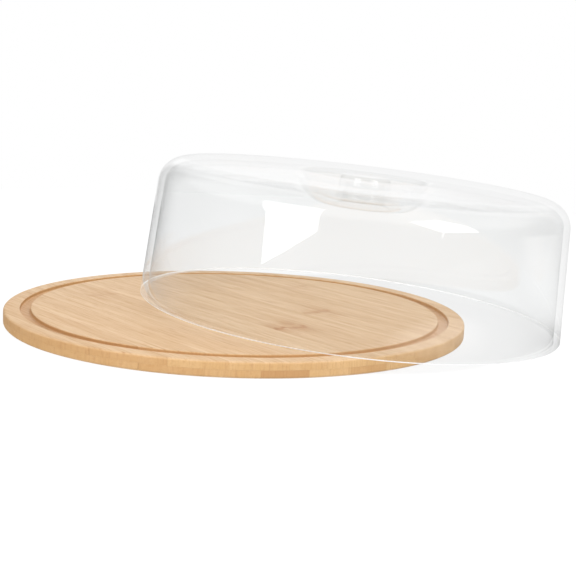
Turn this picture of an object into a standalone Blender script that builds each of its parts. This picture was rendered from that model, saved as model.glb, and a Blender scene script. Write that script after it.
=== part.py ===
"""A round bamboo cheese board with a clear one-piece cover leaning on it.

The board is a lamination of two plies of bamboo strips, with a ring groove
near its rim. The cover has fallen aside: the low side of its rim stands on
the table and the rest hangs over the board. Metres, +Z up. The origin is the
centre of the board's underside, and +X is the way the cover slid and leans.
"""

import math

import bmesh
import bpy
from mathutils import Matrix, Vector

# ---- driving dimensions, in metres -----------------------------------------

# Board
BOARD_RADIUS = 0.150
BOARD_THICKNESS = 0.0094
BOARD_EDGE_ROUND = 0.0015
GLUE_GAP = 0.0003

# Bamboo strips: their length runs along GRAIN_ANGLE, measured from +X.
GRAIN_ANGLE = math.radians(-47.5)
STRIP_WIDTH = 0.024
NARROWEST_STRIP = 0.005
UPPER_JOINT_AT = 0.004
LOWER_JOINT_AT = -0.006

# Ring groove that takes the cover's rim
GROOVE_INNER_RADIUS = 0.1330
GROOVE_OUTER_RADIUS = 0.1396
GROOVE_DEPTH = 0.0028
GROOVE_CORNER = 0.0012

# Cover
RIM_RADIUS = 0.1390
WALL_DRAFT = math.radians(3.75)
WALL = 0.0043
SHOULDER_HEIGHT = 0.0887
SHOULDER_ROUND = 0.0168
CROWN = 0.0012
RIM_ROUND = 0.0006

# Finger well and knob, sunk in the cover's top
WELL_RADIUS = 0.0435
WELL_FLOOR_RADIUS = 0.0305
WELL_DEPTH = 0.0160
WELL_LIP_ROUND = 0.0025
WELL_UNDER_LIP_ROUND = 0.0080
WELL_FLOOR_ROUND = 0.0100
KNOB_RADIUS = 0.0160
KNOB_FOOT_RADIUS = 0.0185
KNOB_FOOT_ROUND = 0.0030
KNOB_EDGE_ROUND = 0.0020
KNOB_DOME = 0.0004

# How the cover lies: slid from the board's centre, then leaning towards +X
COVER_SLIDE = Vector((0.0745, 0.0105))
COVER_LEAN = math.radians(4.2)

# Facets
BOARD_SEGMENTS = 96
COVER_SEGMENTS = 48
ARC_ERROR = 0.00012
CUTTER_MARGIN = 0.010
MERGE = 1e-6

# Colours
BAMBOO_UPPER = (0.79, 0.52, 0.29)
BAMBOO_LOWER = (0.72, 0.45, 0.24)
BAMBOO_TONES = (1.00, 0.90, 1.05, 0.94, 1.02)
CLEAR_PLASTIC = (0.93, 0.95, 0.94)


# ---- outlines ---------------------------------------------------------------


def arc_round(before, corner, after, radius):
    """Points of the arc that rounds a corner between two straight lines."""
    towards_before = (before - corner).normalized()
    towards_after = (after - corner).normalized()
    inside = math.acos(max(-1.0, min(1.0, towards_before.dot(towards_after))))
    turn = math.pi - inside
    setback = radius * math.tan(turn / 2)
    start = corner + towards_before * setback
    middle = (towards_before + towards_after).normalized()
    centre = corner + middle * (radius / math.sin(inside / 2))
    side = 1 if towards_before.cross(towards_after) < 0 else -1
    widest_step = 2 * math.acos(max(0.0, 1 - ARC_ERROR / radius))
    steps = max(2, math.ceil(turn / widest_step))
    points = []
    for step in range(steps + 1):
        angle = side * turn * step / steps
        points.append(centre + Matrix.Rotation(angle, 2) @ (start - centre))
    return points


def rounded_outline(corners):
    """Turns (point, radius) corners into points; a radius of 0 stays sharp."""
    points = []
    for index, (corner, radius) in enumerate(corners):
        if radius:
            before = corners[index - 1][0]
            after = corners[index + 1][0]
            points += arc_round(before, corner, after, radius)
        else:
            points.append(corner)
    return points


def parallel_corner(before, corner, after, distance):
    """The corner moved so that both its lines shift sideways by distance."""
    first = (corner - before).normalized()
    second = (after - corner).normalized()
    first_side = Vector((-first.y, first.x))
    second_side = Vector((-second.y, second.x))
    middle = (first_side + second_side).normalized()
    return corner + middle * (distance / middle.dot(first_side))


def cover_outline():
    """(radius, height) points from the knob's top down the outside to the rim,
    and back up the inside to the hollow under the knob."""
    top = SHOULDER_HEIGHT + CROWN
    floor = top - WELL_DEPTH
    shoulder_radius = RIM_RADIUS - SHOULDER_HEIGHT * math.tan(WALL_DRAFT)
    outer = [
        (Vector((0.0, top + KNOB_DOME)), 0.0),
        (Vector((KNOB_RADIUS, top)), KNOB_EDGE_ROUND),
        (Vector((KNOB_FOOT_RADIUS, floor)), KNOB_FOOT_ROUND),
        (Vector((WELL_FLOOR_RADIUS, floor)), WELL_FLOOR_ROUND),
        (Vector((WELL_RADIUS, top)), WELL_LIP_ROUND),
        (Vector((shoulder_radius, SHOULDER_HEIGHT)), SHOULDER_ROUND),
        (Vector((RIM_RADIUS, 0.0)), RIM_ROUND),
    ]
    # The rounds of the inside, from the hollow under the knob to the shoulder.
    inner_rounds = (
        KNOB_EDGE_ROUND,
        KNOB_FOOT_ROUND + WALL,
        WELL_FLOOR_ROUND + WALL,
        WELL_UNDER_LIP_ROUND,
        SHOULDER_ROUND - WALL,
    )
    inner = [(outer[0][0] - Vector((0.0, WALL)), 0.0)]
    for index, inner_round in enumerate(inner_rounds, start=1):
        before, corner, after = (outer[index + step][0] for step in (-1, 0, 1))
        moved = parallel_corner(before, corner, after, -WALL)
        inner.append((moved, inner_round))
    rim_inside = Vector((RIM_RADIUS - WALL / math.cos(WALL_DRAFT), 0.0))
    inner.append((rim_inside, RIM_ROUND))
    return rounded_outline(outer + inner[::-1])


def board_outline():
    """Half of the board's section, from its centre under to its centre above."""
    return rounded_outline(
        [
            (Vector((0.0, 0.0)), 0.0),
            (Vector((BOARD_RADIUS, 0.0)), BOARD_EDGE_ROUND),
            (Vector((BOARD_RADIUS, BOARD_THICKNESS)), BOARD_EDGE_ROUND),
            (Vector((0.0, BOARD_THICKNESS)), 0.0),
        ]
    )


def groove_outline():
    """The groove's section, with its mouth carried up past the board's top."""
    floor = BOARD_THICKNESS - GROOVE_DEPTH
    mouth = BOARD_THICKNESS + CUTTER_MARGIN
    return rounded_outline(
        [
            (Vector((GROOVE_INNER_RADIUS, mouth)), 0.0),
            (Vector((GROOVE_INNER_RADIUS, floor)), GROOVE_CORNER),
            (Vector((GROOVE_OUTER_RADIUS, floor)), GROOVE_CORNER),
            (Vector((GROOVE_OUTER_RADIUS, mouth)), 0.0),
        ]
    )


# ---- modelling helpers ------------------------------------------------------


def clear_scene():
    for old in list(bpy.data.objects):
        bpy.data.objects.remove(old, do_unlink=True)


def plain_material(name, colour, roughness, transmission=0.0):
    material = bpy.data.materials.new(name)
    material.use_nodes = True
    shader = material.node_tree.nodes["Principled BSDF"]
    shader.inputs["Base Color"].default_value = (*colour, 1.0)
    shader.inputs["Roughness"].default_value = roughness
    shader.inputs["Metallic"].default_value = 0.0
    shader.inputs["Transmission Weight"].default_value = transmission
    return material


def new_object(name, mesh, material=None):
    made = bpy.data.objects.new(name, mesh)
    bpy.context.scene.collection.objects.link(made)
    if material:
        mesh.materials.append(material)
    return made


def turned_mesh(name, outline, segments):
    """Spins an outline of (radius, height) points all the way round Z."""
    shape = bmesh.new()
    points = [shape.verts.new((point.x, 0.0, point.y)) for point in outline]
    pairs = list(zip(points, points[1:]))
    if outline[0].x > 0:
        pairs.append((points[-1], points[0]))
    edges = [shape.edges.new(pair) for pair in pairs]
    bmesh.ops.spin(
        shape,
        geom=points + edges,
        cent=(0, 0, 0),
        axis=(0, 0, 1),
        angle=math.tau,
        steps=segments,
        use_merge=True,
    )
    bmesh.ops.remove_doubles(shape, verts=shape.verts, dist=MERGE)
    bmesh.ops.recalc_face_normals(shape, faces=shape.faces)
    mesh = bpy.data.meshes.new(name)
    shape.to_mesh(mesh)
    shape.free()
    mesh.shade_smooth()
    mesh.set_sharp_from_angle(angle=math.radians(35))
    return mesh


def cutter(name, outline, segments):
    tool = new_object(name, turned_mesh(name, outline, segments))
    tool.hide_render = True
    tool.display_type = "WIRE"
    return tool


def boolean(target, operation, tool):
    modifier = target.modifiers.new(tool.name, "BOOLEAN")
    modifier.operation = operation
    modifier.object = tool
    modifier.solver = "EXACT"


# ---- the board --------------------------------------------------------------


def strip_joints(joint_at):
    """Places across the grain where two strips meet, from edge to edge."""
    reach = BOARD_RADIUS - NARROWEST_STRIP
    count = int(2 * BOARD_RADIUS / STRIP_WIDTH) + 1
    places = [joint_at + STRIP_WIDTH * step for step in range(-count, count + 1)]
    return [place for place in places if abs(place) < reach]


def strip_bar(name, low, high, bottom, top, material):
    """A long bar across the whole board, before it is cut to the round."""
    shape = bmesh.new()
    bmesh.ops.create_cube(shape, size=1.0)
    length = 2 * (BOARD_RADIUS + CUTTER_MARGIN)
    middle = Vector((0.0, (low + high) / 2, (bottom + top) / 2))
    size = Vector((length, high - low, top - bottom, 1.0))
    place = Matrix.Translation(middle) @ Matrix.Diagonal(size)
    bmesh.ops.transform(shape, matrix=place, verts=shape.verts)
    mesh = bpy.data.meshes.new(name)
    shape.to_mesh(mesh)
    shape.free()
    bar = new_object(name, mesh, material)
    bar.rotation_euler.z = GRAIN_ANGLE
    return bar


def make_ply(prefix, joint_at, bottom, top, colour, blank, groove=None):
    """One ply: strips side by side, a glue gap apart, cut to the round."""
    joints = strip_joints(joint_at)
    outer = BOARD_RADIUS + CUTTER_MARGIN
    lows = [-outer] + [place + GLUE_GAP / 2 for place in joints]
    highs = [place - GLUE_GAP / 2 for place in joints] + [outer]
    for index, (low, high) in enumerate(zip(lows, highs)):
        name = f"{prefix}_{index + 1:02d}"
        tone = BAMBOO_TONES[index % len(BAMBOO_TONES)]
        shade = tuple(min(1.0, channel * tone) for channel in colour)
        material = plain_material(name, shade, 0.55)
        strip = strip_bar(name, low, high, bottom, top, material)
        boolean(strip, "INTERSECT", blank)
        nearest = min(abs(low), abs(high))
        if groove and nearest < GROOVE_OUTER_RADIUS:
            boolean(strip, "DIFFERENCE", groove)


def make_board():
    blank = cutter("board_blank", board_outline(), BOARD_SEGMENTS)
    groove = cutter("groove_cutter", groove_outline(), BOARD_SEGMENTS)
    middle = BOARD_THICKNESS / 2
    make_ply(
        "lower_strip",
        LOWER_JOINT_AT,
        -CUTTER_MARGIN,
        middle - GLUE_GAP / 2,
        BAMBOO_LOWER,
        blank,
    )
    make_ply(
        "upper_strip",
        UPPER_JOINT_AT,
        middle + GLUE_GAP / 2,
        BOARD_THICKNESS + CUTTER_MARGIN,
        BAMBOO_UPPER,
        blank,
        groove,
    )


# ---- the cover --------------------------------------------------------------


def make_cover():
    """The cover leans about +Y, with the low side of its rim on the table."""
    material = plain_material("clear_plastic", CLEAR_PLASTIC, 0.04, 0.95)
    mesh = turned_mesh("cover", cover_outline(), COVER_SEGMENTS)
    cover = new_object("cover", mesh, material)
    cover.rotation_euler.y = COVER_LEAN
    cover.location = (*COVER_SLIDE, RIM_RADIUS * math.sin(COVER_LEAN))


def main():
    clear_scene()
    make_board()
    make_cover()


main()
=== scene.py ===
"""The looks of a round bamboo cheese board with a clear cover leaning half off it.

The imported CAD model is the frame. Each bamboo strip and the cover are built
again here with a finer surface in the same place, and replace their CAD nodes.
Metres, +Z up; the origin is the centre of the board's underside.
"""

import math

import bmesh
import bpy
from mathutils import Matrix, Vector


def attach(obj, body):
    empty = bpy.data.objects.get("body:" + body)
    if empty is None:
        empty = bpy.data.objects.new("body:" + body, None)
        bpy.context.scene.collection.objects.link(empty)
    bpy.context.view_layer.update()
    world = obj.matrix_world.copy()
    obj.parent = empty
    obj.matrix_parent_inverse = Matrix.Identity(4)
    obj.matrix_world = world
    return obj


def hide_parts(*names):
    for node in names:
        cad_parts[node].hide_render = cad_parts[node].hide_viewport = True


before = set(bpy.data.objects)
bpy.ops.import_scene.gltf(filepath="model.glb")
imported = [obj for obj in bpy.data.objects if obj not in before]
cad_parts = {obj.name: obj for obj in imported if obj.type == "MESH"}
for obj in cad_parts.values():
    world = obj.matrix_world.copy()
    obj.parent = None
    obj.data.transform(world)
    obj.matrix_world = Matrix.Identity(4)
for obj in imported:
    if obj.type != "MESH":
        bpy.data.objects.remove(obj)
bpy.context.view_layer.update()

# ---- sizes, in metres, as in the CAD source ---------------------------------

# Board
BOARD_RADIUS = 0.150
BOARD_THICKNESS = 0.0094
BOARD_EDGE_ROUND = 0.0015
GRAIN_ANGLE = math.radians(-47.5)
STRIP_WIDTH = 0.024
NARROWEST_STRIP = 0.005
UPPER_JOINT_AT = 0.004
LOWER_JOINT_AT = -0.006
GROOVE_INNER_RADIUS = 0.1330
GROOVE_OUTER_RADIUS = 0.1396
GROOVE_DEPTH = 0.0028
GROOVE_CORNER = 0.0012

# Cover
RIM_RADIUS = 0.1390
WALL_DRAFT = math.radians(3.75)
WALL = 0.0043
SHOULDER_HEIGHT = 0.0887
SHOULDER_ROUND = 0.0168
CROWN = 0.0012
RIM_ROUND = 0.0006
WELL_RADIUS = 0.0435
WELL_FLOOR_RADIUS = 0.0305
WELL_DEPTH = 0.0160
WELL_LIP_ROUND = 0.0025
WELL_UNDER_LIP_ROUND = 0.0080
WELL_FLOOR_ROUND = 0.0100
KNOB_RADIUS = 0.0160
KNOB_FOOT_RADIUS = 0.0185
KNOB_FOOT_ROUND = 0.0030
KNOB_EDGE_ROUND = 0.0020
KNOB_DOME = 0.0004
COVER_SLIDE = Vector((0.0745, 0.0105))
COVER_LEAN = math.radians(4.2)

# ---- finer values of the visible surface ------------------------------------

BOARD_SEGMENTS = 288
COVER_SEGMENTS = 256
ARC_ERROR = 0.000012
TOP_INSET = 0.00005
GLUE_LINE = 0.00004
GROOVE_LIP = 0.0004
CUTTER_MARGIN = 0.010
MERGE = 1e-6
SHARP_ANGLE = math.radians(35)


# ---- camera -----------------------------------------------------------------

CAMERA_PLACE = Vector((0.07246, -0.73725, 0.15446))
CAMERA_YAW = math.radians(-3.003)
CAMERA_PITCH = math.radians(9.993)
CAMERA_ROLL = math.radians(2.528)
CAMERA_LENS_MM = 71.07
SENSOR_MM = 36.0


def make_camera():
    """Looks down on the board from the front, a little to the right of it."""
    level = Vector((math.sin(CAMERA_YAW), math.cos(CAMERA_YAW), 0.0))
    ahead = level * math.cos(CAMERA_PITCH) - Vector((0.0, 0.0, math.sin(CAMERA_PITCH)))
    right = Vector((math.cos(CAMERA_YAW), -math.sin(CAMERA_YAW), 0.0))
    up = right.cross(ahead)
    tilted_right = right * math.cos(CAMERA_ROLL) + up * math.sin(CAMERA_ROLL)
    tilted_up = up * math.cos(CAMERA_ROLL) - right * math.sin(CAMERA_ROLL)
    data = bpy.data.cameras.new("camera")
    data.lens = CAMERA_LENS_MM
    data.sensor_width = SENSOR_MM
    camera = bpy.data.objects.new("camera", data)
    turned = Matrix((tilted_right, tilted_up, -ahead)).transposed().to_4x4()
    camera.matrix_world = Matrix.Translation(CAMERA_PLACE) @ turned
    bpy.context.scene.collection.objects.link(camera)
    bpy.context.scene.camera = camera


# ---- outlines ---------------------------------------------------------------


def arc_round(before, corner, after, radius):
    """Points of the arc that rounds a corner between two straight lines."""
    towards_before = (before - corner).normalized()
    towards_after = (after - corner).normalized()
    inside = math.acos(max(-1.0, min(1.0, towards_before.dot(towards_after))))
    turn = math.pi - inside
    setback = radius * math.tan(turn / 2)
    start = corner + towards_before * setback
    middle = (towards_before + towards_after).normalized()
    centre = corner + middle * (radius / math.sin(inside / 2))
    side = 1 if towards_before.cross(towards_after) < 0 else -1
    widest_step = 2 * math.acos(max(0.0, 1 - ARC_ERROR / radius))
    steps = max(3, math.ceil(turn / widest_step))
    points = []
    for step in range(steps + 1):
        angle = side * turn * step / steps
        points.append(centre + Matrix.Rotation(angle, 2) @ (start - centre))
    return points


def rounded_outline(corners):
    """Turns (point, radius) corners into points; a radius of 0 stays sharp."""
    points = []
    for index, (corner, radius) in enumerate(corners):
        if radius:
            before = corners[index - 1][0]
            after = corners[index + 1][0]
            points += arc_round(before, corner, after, radius)
        else:
            points.append(corner)
    return points


def parallel_corner(before, corner, after, distance):
    """The corner moved so that both its lines shift sideways by distance."""
    first = (corner - before).normalized()
    second = (after - corner).normalized()
    first_side = Vector((-first.y, first.x))
    second_side = Vector((-second.y, second.x))
    middle = (first_side + second_side).normalized()
    return corner + middle * (distance / middle.dot(first_side))


def cover_outline():
    """(radius, height) points from the knob's top down the outside to the rim,
    and back up the inside to the hollow under the knob."""
    shoulder = SHOULDER_HEIGHT - TOP_INSET
    top = shoulder + CROWN
    floor = top - WELL_DEPTH
    shoulder_radius = RIM_RADIUS - shoulder * math.tan(WALL_DRAFT)
    outer = [
        (Vector((0.0, top + KNOB_DOME)), 0.0),
        (Vector((KNOB_RADIUS, top)), KNOB_EDGE_ROUND),
        (Vector((KNOB_FOOT_RADIUS, floor)), KNOB_FOOT_ROUND),
        (Vector((WELL_FLOOR_RADIUS, floor)), WELL_FLOOR_ROUND),
        (Vector((WELL_RADIUS, top)), WELL_LIP_ROUND),
        (Vector((shoulder_radius, shoulder)), SHOULDER_ROUND),
        (Vector((RIM_RADIUS, 0.0)), RIM_ROUND),
    ]
    # The rounds of the inside, from the hollow under the knob to the shoulder.
    inner_rounds = (
        KNOB_EDGE_ROUND,
        KNOB_FOOT_ROUND + WALL,
        WELL_FLOOR_ROUND + WALL,
        WELL_UNDER_LIP_ROUND,
        SHOULDER_ROUND - WALL,
    )
    inner = [(outer[0][0] - Vector((0.0, WALL)), 0.0)]
    for index, inner_round in enumerate(inner_rounds, start=1):
        before, corner, after = (outer[index + step][0] for step in (-1, 0, 1))
        moved = parallel_corner(before, corner, after, -WALL)
        inner.append((moved, inner_round))
    rim_inside = Vector((RIM_RADIUS - WALL / math.cos(WALL_DRAFT), 0.0))
    inner.append((rim_inside, RIM_ROUND))
    return rounded_outline(outer + inner[::-1])


def board_side():
    """The board's rounded edge, from its underside up to its top."""
    inside = BOARD_RADIUS - 2 * BOARD_EDGE_ROUND
    return rounded_outline(
        [
            (Vector((inside, 0.0)), 0.0),
            (Vector((BOARD_RADIUS, 0.0)), BOARD_EDGE_ROUND),
            (Vector((BOARD_RADIUS, BOARD_THICKNESS)), BOARD_EDGE_ROUND),
            (Vector((inside, BOARD_THICKNESS)), 0.0),
        ]
    )


def groove_outline():
    """The groove's section, with eased lips that flare out past the board's top."""
    top = BOARD_THICKNESS
    floor = top - GROOVE_DEPTH
    flare = GROOVE_LIP + CUTTER_MARGIN
    return rounded_outline(
        [
            (Vector((GROOVE_INNER_RADIUS - flare, top + CUTTER_MARGIN)), 0.0),
            (Vector((GROOVE_INNER_RADIUS, top - GROOVE_LIP)), GROOVE_LIP),
            (Vector((GROOVE_INNER_RADIUS, floor)), GROOVE_CORNER),
            (Vector((GROOVE_OUTER_RADIUS, floor)), GROOVE_CORNER),
            (Vector((GROOVE_OUTER_RADIUS, top - GROOVE_LIP)), GROOVE_LIP),
            (Vector((GROOVE_OUTER_RADIUS + flare, top + CUTTER_MARGIN)), 0.0),
        ]
    )


# ---- modelling helpers ------------------------------------------------------


def new_object(name, mesh, material=None):
    made = bpy.data.objects.new(name, mesh)
    bpy.context.scene.collection.objects.link(made)
    if material:
        mesh.materials.append(material)
    return made


def turned_shape(outline, segments, closed):
    """A bmesh of an outline of (radius, height) points spun round Z."""
    shape = bmesh.new()
    points = [shape.verts.new((point.x, 0.0, point.y)) for point in outline]
    pairs = list(zip(points, points[1:]))
    if closed:
        pairs.append((points[-1], points[0]))
    edges = [shape.edges.new(pair) for pair in pairs]
    bmesh.ops.spin(
        shape,
        geom=points + edges,
        cent=(0, 0, 0),
        axis=(0, 0, 1),
        angle=math.tau,
        steps=segments,
        use_merge=True,
    )
    bmesh.ops.remove_doubles(shape, verts=shape.verts, dist=MERGE)
    return shape


def finished_mesh(name, shape):
    """The bmesh as a mesh, smooth but for its sharp edges."""
    bmesh.ops.recalc_face_normals(shape, faces=shape.faces)
    mesh = bpy.data.meshes.new(name)
    shape.to_mesh(mesh)
    shape.free()
    mesh.shade_smooth()
    mesh.set_sharp_from_angle(angle=SHARP_ANGLE)
    return mesh


def weigh_normals(target):
    """Keeps flat faces flat beside the small rounds that they run into."""
    modifier = target.modifiers.new("flat faces", "WEIGHTED_NORMAL")
    modifier.keep_sharp = True


def applied(target, name):
    """The object's mesh with its modifiers applied, welded and smoothed."""
    graph = bpy.context.evaluated_depsgraph_get()
    cut = bpy.data.meshes.new_from_object(target.evaluated_get(graph))
    shape = bmesh.new()
    shape.from_mesh(cut)
    bmesh.ops.remove_doubles(shape, verts=shape.verts, dist=MERGE)
    mesh = finished_mesh(name, shape)
    for material in target.data.materials:
        mesh.materials.append(material)
    return mesh


# ---- shader helpers ---------------------------------------------------------

# Sockets of Blender's Mix node that carry colours, by their index
MIX_FIRST_COLOUR = 6
MIX_SECOND_COLOUR = 7
MIXED_COLOUR = 2


class Shader:
    """A material with a Principled shader and short ways to add nodes."""

    def __init__(self, name):
        self.material = bpy.data.materials.new(name)
        self.material.use_nodes = True
        self.tree = self.material.node_tree
        self.surface = self.tree.nodes["Principled BSDF"]

    def node(self, kind, inputs=(), **settings):
        made = self.tree.nodes.new(kind)
        for key, value in settings.items():
            setattr(made, key, value)
        for key, value in dict(inputs).items():
            self.put(made.inputs[key], value)
        return made

    def put(self, socket, value):
        if isinstance(value, bpy.types.NodeSocket):
            self.tree.links.new(value, socket)
        else:
            socket.default_value = value

    def math(self, operation, first, second=0.0):
        made = self.node("ShaderNodeMath", operation=operation)
        for socket, value in zip(made.inputs, (first, second)):
            self.put(socket, value)
        return made.outputs[0]

    def band(self, value, low, high, soft):
        """1 where value is between low and high, fading out over soft."""
        rise = self.ramp(value, low - soft, low)
        fall = self.ramp(value, high, high + soft)
        return self.math("SUBTRACT", rise, fall)

    def ramp(self, value, low, high, out_low=0.0, out_high=1.0):
        """out_low up to low, out_high from high on, and an eased slope between."""
        made = self.node(
            "ShaderNodeMapRange",
            {
                "Value": value,
                "From Min": low,
                "From Max": high,
                "To Min": out_low,
                "To Max": out_high,
            },
            interpolation_type="SMOOTHSTEP",
        )
        return made.outputs[0]

    def mix(self, share, first, second):
        made = self.node("ShaderNodeMix", data_type="RGBA")
        self.put(made.inputs["Factor"], share)
        self.put(made.inputs[MIX_FIRST_COLOUR], first)
        self.put(made.inputs[MIX_SECOND_COLOUR], second)
        return made.outputs[MIXED_COLOUR]

    def noise(self, place, scale, detail=2.0, roughness=0.5):
        made = self.node(
            "ShaderNodeTexNoise",
            {
                "Vector": place,
                "Scale": scale,
                "Detail": detail,
                "Roughness": roughness,
            },
        )
        return made.outputs["Fac"]

    def grained(self, place, per_metre, detail=3.0, roughness=0.6):
        """Noise with its own number of cells per metre along, across and up."""
        stretched = self.node("ShaderNodeMapping", {"Vector": place, "Scale": per_metre})
        return self.noise(stretched.outputs[0], 1.0, detail, roughness)

    def part(self, vector, axis):
        """One of a vector's three numbers, 0 to 2 for X to Z."""
        return self.node("ShaderNodeSeparateXYZ", {"Vector": vector}).outputs[axis]

    def own(self, name):
        """A number that the object keeps under that name."""
        made = self.node("ShaderNodeAttribute", attribute_type="OBJECT")
        made.attribute_name = name
        return made.outputs["Fac"]


def linear(red, green, blue):
    """An sRGB colour of 0 to 255 as Blender's linear RGBA."""
    channels = [channel / 255 for channel in (red, green, blue)]
    low = [channel / 12.92 for channel in channels]
    high = [((channel + 0.055) / 1.055) ** 2.4 for channel in channels]
    picked = [
        small if channel <= 0.04045 else large
        for channel, small, large in zip(channels, low, high)
    ]
    return (*picked, 1.0)


# ---- bamboo -----------------------------------------------------------------

# Colours of a light and of a dark strip, of what lies in them, of the sawn
# ends, of the wood that a cutter has burnished (in the groove also painted shade), and of a
# glue line
BAMBOO_LIGHT = linear(222, 192, 155)
BAMBOO_DARK = linear(203, 167, 126)
FIBRE = linear(176, 128, 82)
KNUCKLE = linear(174, 121, 74)
END_GRAIN = linear(214, 171, 110)
BURNISHED = linear(178, 128, 82)
JOINT = linear(168, 124, 82)

# Cells per metre of each pattern, along the grain, across it and up, or the
# same every way
BAND_CELLS = (7.0, 150.0, 60.0)
FIBRE_CELLS = (44.0, 1100.0, 900.0)
STREAK_CELLS = (28.0, 480.0, 400.0)
RAGGED_CELLS = (60.0, 260.0, 60.0)
PORE_CELLS = (420.0, 1300.0, 90.0)
PATCH_CELLS = 90.0

# How strongly each pattern shows, 0 to 1
BAND_DRIFT = 0.34
FIBRE_SHARE = 0.60
STREAK_SHARE = 0.60
PORE_SHARE = 0.42
SAWN_SHARE = 0.60
# Strength of the groove's darkening: partly burnish, partly painted shade
GROOVE_BURN_AND_SHADE = 0.38
GLUE_SHARE = 0.28
HALO_SHARE = 0.40
PATCH_LEAST = 0.25
GLUE_ON_SIDE = 0.3

# Stretch of each noise over which its pattern comes in
BAND_RANGE = (0.3, 0.7)
FIBRE_RANGE = (0.48, 0.76)
STREAK_RANGE = (0.54, 0.76)
RAGGED_RANGE = (0.2, 0.8)
PORE_RANGE = (0.42, 0.80)
PATCH_RANGE = (0.30, 0.60)
GLOSS_RANGE = (0.3, 0.8)

# The side is burnished more on a strip with a darker tone
TONE_ON_SIDE = (0.35, 1.15)
SIDE_BURN = (0.05, 0.55)

# How upright a face's normal is, from the side's end grain to the top's grain
LEVEL_RANGE = (0.3, 0.75)
ROUGHNESS = (0.44, 0.62)

# Sizes of the marks, in metres
RAGGED_EDGE = 0.004
MARK_REACH = 0.0080
HALO_FROM = 0.004
HALO_REACH = 0.028
# Fade of the groove's burnish and painted shade at its sides, and the depth over which they
# come in from the top
BURN_AND_SHADE_FADES_OVER = 0.0003
BURN_AND_SHADE_DEPTH = 0.0012
GLUE_FULL_WITHIN = 0.00005
GLUE_REACH = 0.00040
FIBRE_RELIEF = 0.0002


def knuckle_mark(wood, moved, along):
    """A ragged mark across the strip, darkest at its middle, in a weaker halo."""
    ragged = wood.grained(moved, RAGGED_CELLS)
    offset = wood.math("SUBTRACT", along, wood.own("knuckle_at"))
    bend = wood.ramp(ragged, *RAGGED_RANGE, -RAGGED_EDGE, RAGGED_EDGE)
    distance = wood.math("ABSOLUTE", wood.math("ADD", offset, bend))
    mark = wood.ramp(distance, 0.0, MARK_REACH, 1.0, 0.0)
    halo = wood.ramp(distance, HALO_FROM, HALO_REACH, HALO_SHARE, 0.0)
    knuckle = wood.math("MAXIMUM", mark, halo)
    patches = wood.ramp(wood.noise(moved, PATCH_CELLS), *PATCH_RANGE, PATCH_LEAST, 1.0)
    knuckle = wood.math("MULTIPLY", knuckle, patches)
    return wood.math("MULTIPLY", knuckle, wood.own("knuckle"))


def groove_burn_and_shade(wood, along, across, height):
    """1 in the ring groove: the cutter's burnish there, with painted shade in the recess."""
    flat = wood.node("ShaderNodeCombineXYZ", {"X": along, "Y": across, "Z": 0.0})
    radius = wood.node(
        "ShaderNodeVectorMath", {0: flat.outputs[0]}, operation="LENGTH"
    ).outputs["Value"]
    ring = wood.band(radius, GROOVE_INNER_RADIUS, GROOVE_OUTER_RADIUS, BURN_AND_SHADE_FADES_OVER)
    depth = wood.ramp(height, BOARD_THICKNESS - BURN_AND_SHADE_DEPTH, BOARD_THICKNESS, 1.0, 0.0)
    return wood.math("MULTIPLY", ring, depth)


def glue_line(wood, across, end_face):
    """Strength of the thin dark line along both edges of a strip."""
    to_low = wood.math("ABSOLUTE", wood.math("SUBTRACT", across, wood.own("low")))
    to_high = wood.math("ABSOLUTE", wood.math("SUBTRACT", across, wood.own("high")))
    to_edge = wood.math("MINIMUM", to_low, to_high)
    glue = wood.ramp(to_edge, GLUE_FULL_WITHIN, GLUE_REACH, GLUE_SHARE, 0.0)
    return wood.math("MULTIPLY", glue, wood.ramp(end_face, 0.0, 1.0, 1.0, GLUE_ON_SIDE))


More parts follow.
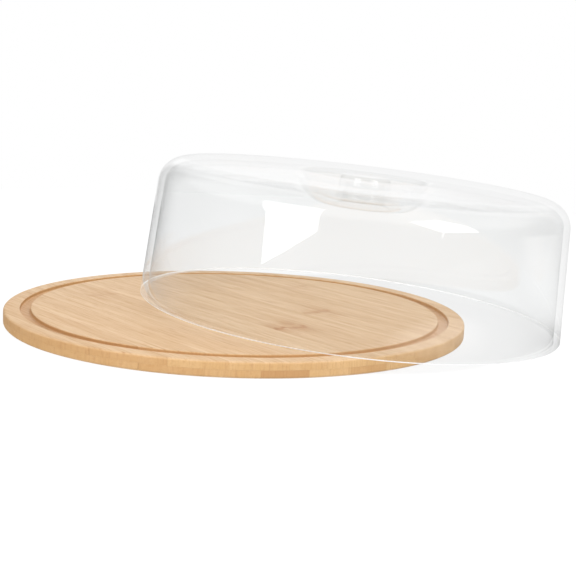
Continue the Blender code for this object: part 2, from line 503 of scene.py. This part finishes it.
def bamboo_material():
    """Bamboo in the strips' own directions: along the grain, across, and up."""
    wood = Shader("bamboo")
    surface = wood.surface
    place = wood.node("ShaderNodeTexCoord").outputs["Object"]
    grain = wood.node(
        "ShaderNodeMapping",
        {"Vector": place, "Rotation": (0.0, 0.0, -GRAIN_ANGLE)},
    ).outputs[0]
    along, across, height = (wood.part(grain, axis) for axis in range(3))
    facing = wood.node("ShaderNodeNewGeometry").outputs["Normal"]
    level = wood.ramp(wood.math("ABSOLUTE", wood.part(facing, 2)), *LEVEL_RANGE)
    end_face = wood.math("SUBTRACT", 1.0, level)

    # Each strip is cut from another cane, so its pattern is shifted.
    seed = wood.own("seed")
    shift = wood.node("ShaderNodeCombineXYZ", {"X": seed, "Y": 0.0, "Z": seed})
    moved = wood.node(
        "ShaderNodeVectorMath", {0: grain, 1: shift.outputs[0]}, operation="ADD"
    ).outputs[0]
    bands = wood.grained(moved, BAND_CELLS, roughness=0.55)
    fibres = wood.grained(moved, FIBRE_CELLS, detail=4.0, roughness=0.65)
    streaks = wood.grained(moved, STREAK_CELLS)
    pores = wood.grained(moved, PORE_CELLS)

    tone = wood.own("tone")
    drift = wood.ramp(bands, *BAND_RANGE, -BAND_DRIFT, BAND_DRIFT)
    shade = wood.node("ShaderNodeClamp", {"Value": wood.math("ADD", tone, drift)})
    colour = wood.mix(shade.outputs[0], BAMBOO_LIGHT, BAMBOO_DARK)
    colour = wood.mix(wood.ramp(fibres, *FIBRE_RANGE, 0.0, FIBRE_SHARE), colour, FIBRE)
    colour = wood.mix(wood.ramp(streaks, *STREAK_RANGE, 0.0, STREAK_SHARE), colour, FIBRE)
    colour = wood.mix(knuckle_mark(wood, moved, along), colour, KNUCKLE)

    # End grain: the fibres meet the board's side as short upright strokes.
    side = wood.mix(SAWN_SHARE, colour, END_GRAIN)
    side = wood.mix(wood.ramp(tone, *TONE_ON_SIDE, *SIDE_BURN), side, BURNISHED)
    side = wood.mix(wood.ramp(pores, *PORE_RANGE, 0.0, PORE_SHARE), side, FIBRE)
    colour = wood.mix(end_face, colour, side)

    # The groove darkens: partly the cutter's burnish, partly painted shade in the recess.
    burnt_and_shaded = wood.math("MULTIPLY", groove_burn_and_shade(wood, along, across, height), GROOVE_BURN_AND_SHADE)
    colour = wood.mix(burnt_and_shaded, colour, BURNISHED)
    colour = wood.mix(glue_line(wood, across, end_face), colour, JOINT)

    wood.put(surface.inputs["Base Color"], colour)
    rough = wood.ramp(fibres, *GLOSS_RANGE, *ROUGHNESS)
    wood.put(surface.inputs["Roughness"], rough)
    surface.inputs["IOR"].default_value = 1.45
    surface.inputs["Specular IOR Level"].default_value = 0.35
    bump = wood.node(
        "ShaderNodeBump",
        {"Height": fibres, "Strength": 0.25, "Distance": FIBRE_RELIEF},
    )
    wood.put(surface.inputs["Normal"], bump.outputs[0])
    return wood.material


# Tone of each strip, 0 light to 1 dark, from one edge of the board to the other.
# Past 1 only the strip's side gets darker.
UPPER_TONES = (0.8, 0.80, 0.55, 0.52, 0.58, 0.38, 0.50, 0.55, 0.42, 0.54, 0.44, 0.50, 0.4)
LOWER_TONES = (0.7, 0.78, 0.68, 1.15, 0.50, 0.78, 0.45, 0.65, 0.40, 0.70, 0.45, 0.60, 0.5)

# Upper strips with a knuckle: index, place along the grain in metres, strength.
# The others get one of no strength, far off the board.
UPPER_KNUCKLES = {6: (0.0666, 1.0), 8: (0.0359, 0.55), 4: (-0.0778, 0.35), 10: (-0.045, 0.3)}
NO_KNUCKLE = (1.0, 0.0)
SEED_STEP = 0.737


def strip_joints(joint_at):
    """Places across the grain where two strips meet, from edge to edge."""
    reach = BOARD_RADIUS - NARROWEST_STRIP
    count = int(2 * BOARD_RADIUS / STRIP_WIDTH) + 1
    places = [joint_at + STRIP_WIDTH * step for step in range(-count, count + 1)]
    return [place for place in places if abs(place) < reach]


def boolean(target, operation, tool):
    modifier = target.modifiers.new(tool.name, "BOOLEAN")
    modifier.operation = operation
    modifier.object = tool
    modifier.solver = "EXACT"


def strip_bar(name, low, high, bottom, top, material):
    """A long bar across the whole board, before it is cut to the round."""
    shape = bmesh.new()
    bmesh.ops.create_cube(shape, size=1.0)
    length = 2 * (BOARD_RADIUS + CUTTER_MARGIN)
    middle = Vector((0.0, (low + high) / 2, (bottom + top) / 2))
    size = Vector((length, high - low, top - bottom, 1.0))
    turned = Matrix.Rotation(GRAIN_ANGLE, 4, "Z")
    place = turned @ Matrix.Translation(middle) @ Matrix.Diagonal(size)
    bmesh.ops.transform(shape, matrix=place, verts=shape.verts)
    mesh = bpy.data.meshes.new(name)
    shape.to_mesh(mesh)
    shape.free()
    return new_object(name, mesh, material)


def make_ply(prefix, cad_prefix, joint_at, bottom, top, tones, knuckles, tools, material):
    """One ply's strips, each cut to the round and riding with the board."""
    blank, groove = tools
    joints = strip_joints(joint_at)
    outer = BOARD_RADIUS + CUTTER_MARGIN
    lows = [-outer] + [place + GLUE_LINE / 2 for place in joints]
    highs = [place - GLUE_LINE / 2 for place in joints] + [outer]
    for index, (low, high) in enumerate(zip(lows, highs)):
        name = f"{prefix}_{index + 1:02d}"
        strip = strip_bar(name, low, high, bottom, top, material)
        boolean(strip, "INTERSECT", blank)
        nearest = min(abs(low), abs(high))
        if groove and nearest < GROOVE_OUTER_RADIUS:
            boolean(strip, "DIFFERENCE", groove)
        mesh = applied(strip, name)
        strip.modifiers.clear()
        strip.data = mesh
        weigh_normals(strip)
        knuckle_at, knuckle = knuckles.get(index, NO_KNUCKLE)
        strip["tone"] = tones[index]
        strip["seed"] = SEED_STEP * (index + 1) + joint_at
        strip["low"] = low
        strip["high"] = high
        strip["knuckle_at"] = knuckle_at
        strip["knuckle"] = knuckle
        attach(strip, "board")
        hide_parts(f"{cad_prefix}_{index + 1:02d}")


def make_board():
    """Both plies, cut from a round blank; the groove is cut in the upper one."""
    blank_shape = turned_shape(board_side(), BOARD_SEGMENTS, closed=False)
    rims = [edge for edge in blank_shape.edges if edge.is_boundary]
    bmesh.ops.holes_fill(blank_shape, edges=rims, sides=0)
    blank = new_object("board_blank", finished_mesh("board_blank", blank_shape))
    groove_shape = turned_shape(groove_outline(), BOARD_SEGMENTS, closed=True)
    groove = new_object("groove_cutter", finished_mesh("groove_cutter", groove_shape))
    material = bamboo_material()
    middle = BOARD_THICKNESS / 2
    make_ply(
        "lower_bamboo",
        "lower_strip",
        LOWER_JOINT_AT,
        -CUTTER_MARGIN,
        middle - GLUE_LINE / 2,
        LOWER_TONES,
        {},
        (blank, None),
        material,
    )
    make_ply(
        "upper_bamboo",
        "upper_strip",
        UPPER_JOINT_AT,
        middle + GLUE_LINE / 2,
        BOARD_THICKNESS + CUTTER_MARGIN,
        UPPER_TONES,
        UPPER_KNUCKLES,
        (blank, groove),
        material,
    )
    for tool in (blank, groove):
        bpy.data.objects.remove(tool, do_unlink=True)


# ---- the cover --------------------------------------------------------------

PLASTIC_IOR = 1.49


def clear_material():
    """Clear polished plastic: it bends nothing behind it, and its coat has the
    plastic's gloss."""
    clear = Shader("clear_plastic")
    surface = clear.surface
    surface.inputs["Base Color"].default_value = (0.966, 0.971, 0.970, 1.0)
    surface.inputs["Roughness"].default_value = 0.0
    surface.inputs["IOR"].default_value = 1.0
    surface.inputs["Transmission Weight"].default_value = 1.0
    surface.inputs["Coat Weight"].default_value = 1.0
    surface.inputs["Coat Roughness"].default_value = 0.0
    surface.inputs["Coat IOR"].default_value = PLASTIC_IOR
    return clear.material


def rim_highlight_material():
    """The rim's outer edge, painted near-white: a painted highlight that stands for the
    bright line along the round.
    """
    rim = Shader("rim_painted_highlight")
    surface = rim.surface
    surface.inputs["Base Color"].default_value = (0.97, 0.97, 0.97, 1.0)
    surface.inputs["Roughness"].default_value = 0.25
    surface.inputs["IOR"].default_value = 1.0
    surface.inputs["Transmission Weight"].default_value = 0.1
    return rim.material


def make_cover():
    """The cover leans about +Y, with the low side of its rim on the table."""
    shape = turned_shape(cover_outline(), COVER_SEGMENTS, closed=False)
    # The faces at the bottom of the rim get the painted highlight's near-white material.
    for face in shape.faces:
        middle = face.calc_center_median()
        if middle.z < RIM_ROUND and middle.xy.length > RIM_RADIUS - RIM_ROUND:
            face.material_index = 1
    lean = Matrix.Rotation(COVER_LEAN, 4, "Y")
    height = RIM_RADIUS * math.sin(COVER_LEAN)
    place = Matrix.Translation((*COVER_SLIDE, height)) @ lean
    bmesh.ops.transform(shape, matrix=place, verts=shape.verts)
    mesh = finished_mesh("clear_cover", shape)
    cover = new_object("clear_cover", mesh, clear_material())
    mesh.materials.append(rim_highlight_material())
    weigh_normals(cover)
    cover.visible_shadow = False
    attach(cover, "cover")
    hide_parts("cover")


# ---- studio -----------------------------------------------------------------

# Table: its size, how much light it scatters, and how much it glows
FLOOR_RADIUS = 0.9
FLOOR_SEGMENTS = 96
FLOOR_GAP = 0.0002
TABLE_ALBEDO = 0.12
TABLE_GLOW = 0.92

# A painted shadow of the cover at rest: the table is a little darker in an ellipse under it
COVER_SHADE = 0.09
SHADE_CENTRE = (0.0745, 0.045, 0.0)
SHADE_REACH = (0.139, 0.175, 1.0)
SHADE_FADES_AT = 0.93

# Painted reflection: the table glows this way only as the cover mirrors it, dim in front,
# bright at the back, less so at the left, and with a painted highlight spot at the front
# right
MIRRORED_FROM = (-0.06, 0.09)
MIRRORED_FRONT = 0.10
MIRRORED_LEFT = (-0.20, 0.05)
MIRRORED_LEFT_SHARE = 0.45
MIRRORED_BACK = 0.72
MIRRORED_HIGHLIGHT_SPOT = (0.24, -0.24, 0.0)
MIRRORED_HIGHLIGHT_SPOT_EDGE = (0.04, 0.135)
MIRRORED_HIGHLIGHT_SPOT_GLOW = 1.9

# The room as the cover mirrors it, by the direction's parts ahead, up and sideways
FRONT_GREY = 0.14
BACK_WHITE = 0.92
CEILING_WHITE = 0.78
BRIGHTENS_AHEAD = (-0.05, 1.0)
BRIGHTENS_UP = (0.12, 0.50)
HIGH_BACK = (0.96, 1.06)
HIGH_BACK_UP_SHARE = 0.6
HIGH_BACK_WHITE = 1.04
LEFT_FLAG_OUTER = (-0.90, -0.70)
LEFT_FLAG_INNER = (-0.45, -0.28)
LEFT_FLAG_AHEAD = (0.4, 0.8)
LEFT_FLAG_DEPTH = 0.60

# The room as it lights the board, and as it is seen
SURROUND_FILL = 0.56
SEEN_WHITE = 1.0

# Corners of two softboxes that show only as the cover's highlights
LEFT_SOFTBOX = (
    (-0.74, -0.76, 0.07),
    (-0.32, -1.06, 0.11),
    (-0.19, -0.84, 0.74),
    (-0.66, -0.54, 0.70),
    (-0.77, -0.71, 0.22),
)
RIGHT_SOFTBOX = (
    (0.80, -0.85, 0.03),
    (1.05, -0.53, 0.18),
    (0.97, -0.53, 0.45),
    (0.71, -0.59, 0.74),
    (0.53, -0.90, 0.56),
    (0.68, -0.93, 0.26),
)
SOFTBOX_GLOW = 4.5

# Lights that the cover does not mirror: place, size and power in watts
LIT_CENTRE = (0.05, 0.0, 0.02)
LIGHTS = {
    "key": ((0.1, -1.0, 1.4), 1.0, 13.0),
    "fill": ((1.1, -0.8, 1.1), 0.8, 6.0),
    "front": ((-1.0, -1.2, 0.35), 0.8, 5.0),
    "top": ((0.5, 0.4, 1.6), 1.0, 4.5),
}


def mirrored_table(white, place, light_path):
    """Painted reflection: glow of the table as the cover mirrors it, white behind the board
    and grey in front, with a painted highlight spot at the front right."""
    ahead = white.ramp(white.part(place, 1), *MIRRORED_FROM, MIRRORED_FRONT, MIRRORED_BACK)
    flag = white.ramp(white.part(place, 0), *MIRRORED_LEFT, MIRRORED_LEFT_SHARE, 1.0)
    plain = white.math("MULTIPLY", ahead, flag)

    # The painted highlight spot shows only in the cover's outer face.
    from_highlight_spot = white.node(
        "ShaderNodeVectorMath", {0: place, 1: MIRRORED_HIGHLIGHT_SPOT}, operation="DISTANCE"
    ).outputs["Value"]
    card = white.ramp(from_highlight_spot, *MIRRORED_HIGHLIGHT_SPOT_EDGE, MIRRORED_HIGHLIGHT_SPOT_GLOW, 0.0)
    outer_face = white.ramp(light_path["Transmission Depth"], 0.0, 1.0, 1.0, 0.0)
    return white.math("ADD", plain, white.math("MULTIPLY", card, outer_face))


def seen_table(white, place):
    """Glow of the table as it is seen, with a painted shadow of the cover:
    darker in an ellipse under it."""
    from_centre = white.node(
        "ShaderNodeVectorMath",
        {0: place, 1: SHADE_CENTRE},
        operation="SUBTRACT",
    ).outputs[0]
    spread = white.node(
        "ShaderNodeVectorMath",
        {0: from_centre, 1: SHADE_REACH},
        operation="DIVIDE",
    ).outputs[0]
    spread = white.node(
        "ShaderNodeVectorMath", {0: spread}, operation="LENGTH"
    ).outputs["Value"]
    return white.ramp(spread, SHADE_FADES_AT, 1.0, TABLE_GLOW - COVER_SHADE, TABLE_GLOW)


def table_material():
    """White, glowing so evenly that hardly a shadow shows; it carries a painted shadow of
    the cover and a painted reflection that only the cover's gloss sees.
    """
    white = Shader("white_table")
    surface = white.surface
    surface.inputs["Base Color"].default_value = (*[TABLE_ALBEDO] * 3, 1.0)
    surface.inputs["Roughness"].default_value = 0.9
    surface.inputs["Specular IOR Level"].default_value = 0.0
    surface.inputs["Emission Color"].default_value = (1.0, 1.0, 1.0, 1.0)
    place = white.node("ShaderNodeTexCoord").outputs["Object"]
    light_path = white.node("ShaderNodeLightPath").outputs
    mirrored = white.ramp(light_path["Glossy Depth"], 0.0, 1.0)
    seen = white.math("SUBTRACT", 1.0, mirrored)
    glow = white.math(
        "ADD",
        white.math("MULTIPLY", seen, seen_table(white, place)),
        white.math("MULTIPLY", mirrored, mirrored_table(white, place, light_path)),
    )
    white.put(surface.inputs["Emission Strength"], glow)
    return white.material


def make_floor():
    shape = bmesh.new()
    bmesh.ops.create_circle(
        shape, cap_ends=True, segments=FLOOR_SEGMENTS, radius=FLOOR_RADIUS
    )
    for corner in shape.verts:
        corner.co.z = -FLOOR_GAP
    floor = new_object("floor", finished_mesh("floor", shape), table_material())


def make_world():
    """White where it is seen, also through the cover. Reflections find it white
    at the back and grey in front, and the board is lit by an even grey."""
    world = bpy.data.worlds.new("studio")
    world.use_nodes = True
    tree = world.node_tree
    back = tree.nodes["Background"]

    def node(kind, **settings):
        made = tree.nodes.new(kind)
        for key, value in settings.items():
            setattr(made, key, value)
        return made

    def math_node(operation, first, second):
        made = node("ShaderNodeMath", operation=operation)
        for socket, value in zip(made.inputs, (first, second)):
            if isinstance(value, bpy.types.NodeSocket):
                tree.links.new(value, socket)
            else:
                socket.default_value = value
        return made.outputs[0]

    def blend(share, low, high):
        """low where share is 0, high where it is 1."""
        return math_node(
            "ADD",
            math_node("MULTIPLY", math_node("SUBTRACT", 1.0, share), low),
            math_node("MULTIPLY", share, high),
        )

    def ramp(value, low, high, out_low, out_high):
        made = node("ShaderNodeMapRange", interpolation_type="SMOOTHSTEP")
        tree.links.new(value, made.inputs["Value"])
        for key, number in zip(("From Min", "From Max"), (low, high)):
            made.inputs[key].default_value = number
        for key, number in zip(("To Min", "To Max"), (out_low, out_high)):
            made.inputs[key].default_value = number
        return made.outputs[0]

    path = node("ShaderNodeLightPath")
    direct = math_node("LESS_THAN", path.outputs["Diffuse Depth"], 0.5)
    mirrored = math_node("GREATER_THAN", path.outputs["Glossy Depth"], 0.5)
    seen = math_node("MULTIPLY", math_node("SUBTRACT", 1.0, mirrored), direct)
    mirrored = math_node("MULTIPLY", mirrored, direct)
    direction = node("ShaderNodeTexCoord").outputs["Generated"]
    split = node("ShaderNodeSeparateXYZ")
    tree.links.new(direction, split.inputs[0])
    sideways, ahead, up = split.outputs
    walls = math_node(
        "MAXIMUM",
        ramp(ahead, *BRIGHTENS_AHEAD, FRONT_GREY, BACK_WHITE),
        ramp(up, *BRIGHTENS_UP, FRONT_GREY, CEILING_WHITE),
    )
    raised = math_node("ADD", ahead, math_node("MULTIPLY", up, HIGH_BACK_UP_SHARE))
    walls = math_node("MAXIMUM", walls, ramp(raised, *HIGH_BACK, 0.0, HIGH_BACK_WHITE))
    left_flag = math_node(
        "MULTIPLY",
        ramp(sideways, *LEFT_FLAG_OUTER, 0.0, 1.0),
        ramp(sideways, *LEFT_FLAG_INNER, 1.0, 0.0),
    )
    depth = ramp(ahead, *LEFT_FLAG_AHEAD, 0.0, LEFT_FLAG_DEPTH)
    left_flag = math_node("MULTIPLY", left_flag, depth)
    walls = math_node("MULTIPLY", walls, math_node("SUBTRACT", 1.0, left_flag))
    strength = blend(mirrored, SURROUND_FILL, walls)
    strength = blend(seen, strength, SEEN_WHITE)
    tree.links.new(strength, back.inputs["Strength"])
    back.inputs["Color"].default_value = (1.0, 1.0, 1.0, 1.0)
    bpy.context.scene.world = world


def make_softbox(name, corners):
    """A glowing card in front of the cover, seen only as its highlight."""
    shape = bmesh.new()
    shape.faces.new([shape.verts.new(corner) for corner in corners])
    mesh = finished_mesh(name, shape)
    white = Shader(name)
    surface = white.surface
    surface.inputs["Base Color"].default_value = (0.0, 0.0, 0.0, 1.0)
    surface.inputs["Emission Color"].default_value = (1.0, 1.0, 1.0, 1.0)
    surface.inputs["Emission Strength"].default_value = SOFTBOX_GLOW
    card = new_object(name, mesh, white.material)
    card.visible_camera = False
    card.visible_diffuse = False
    card.visible_transmission = False
    card.visible_shadow = False


def make_light(name, place, size, power):
    """A round area light that faces the middle of the scene."""
    data = bpy.data.lights.new(name, "AREA")
    data.shape = "DISK"
    data.size = size
    data.energy = power
    light = bpy.data.objects.new(name, data)
    light.location = place
    direction = Vector(LIT_CENTRE) - Vector(place)
    light.rotation_mode = "QUATERNION"
    light.rotation_quaternion = direction.to_track_quat("-Z", "Y")
    light.visible_glossy = False
    light.visible_transmission = False
    bpy.context.scene.collection.objects.link(light)


def make_lights():
    for name, (place, size, power) in LIGHTS.items():
        make_light(name, place, size, power)
    make_softbox("left_softbox", LEFT_SOFTBOX)
    make_softbox("right_softbox", RIGHT_SOFTBOX)


# ---- scene ------------------------------------------------------------------

bpy.context.scene.view_settings.view_transform = "Standard"
make_camera()
make_board()
make_cover()
make_floor()
make_world()
make_lights()
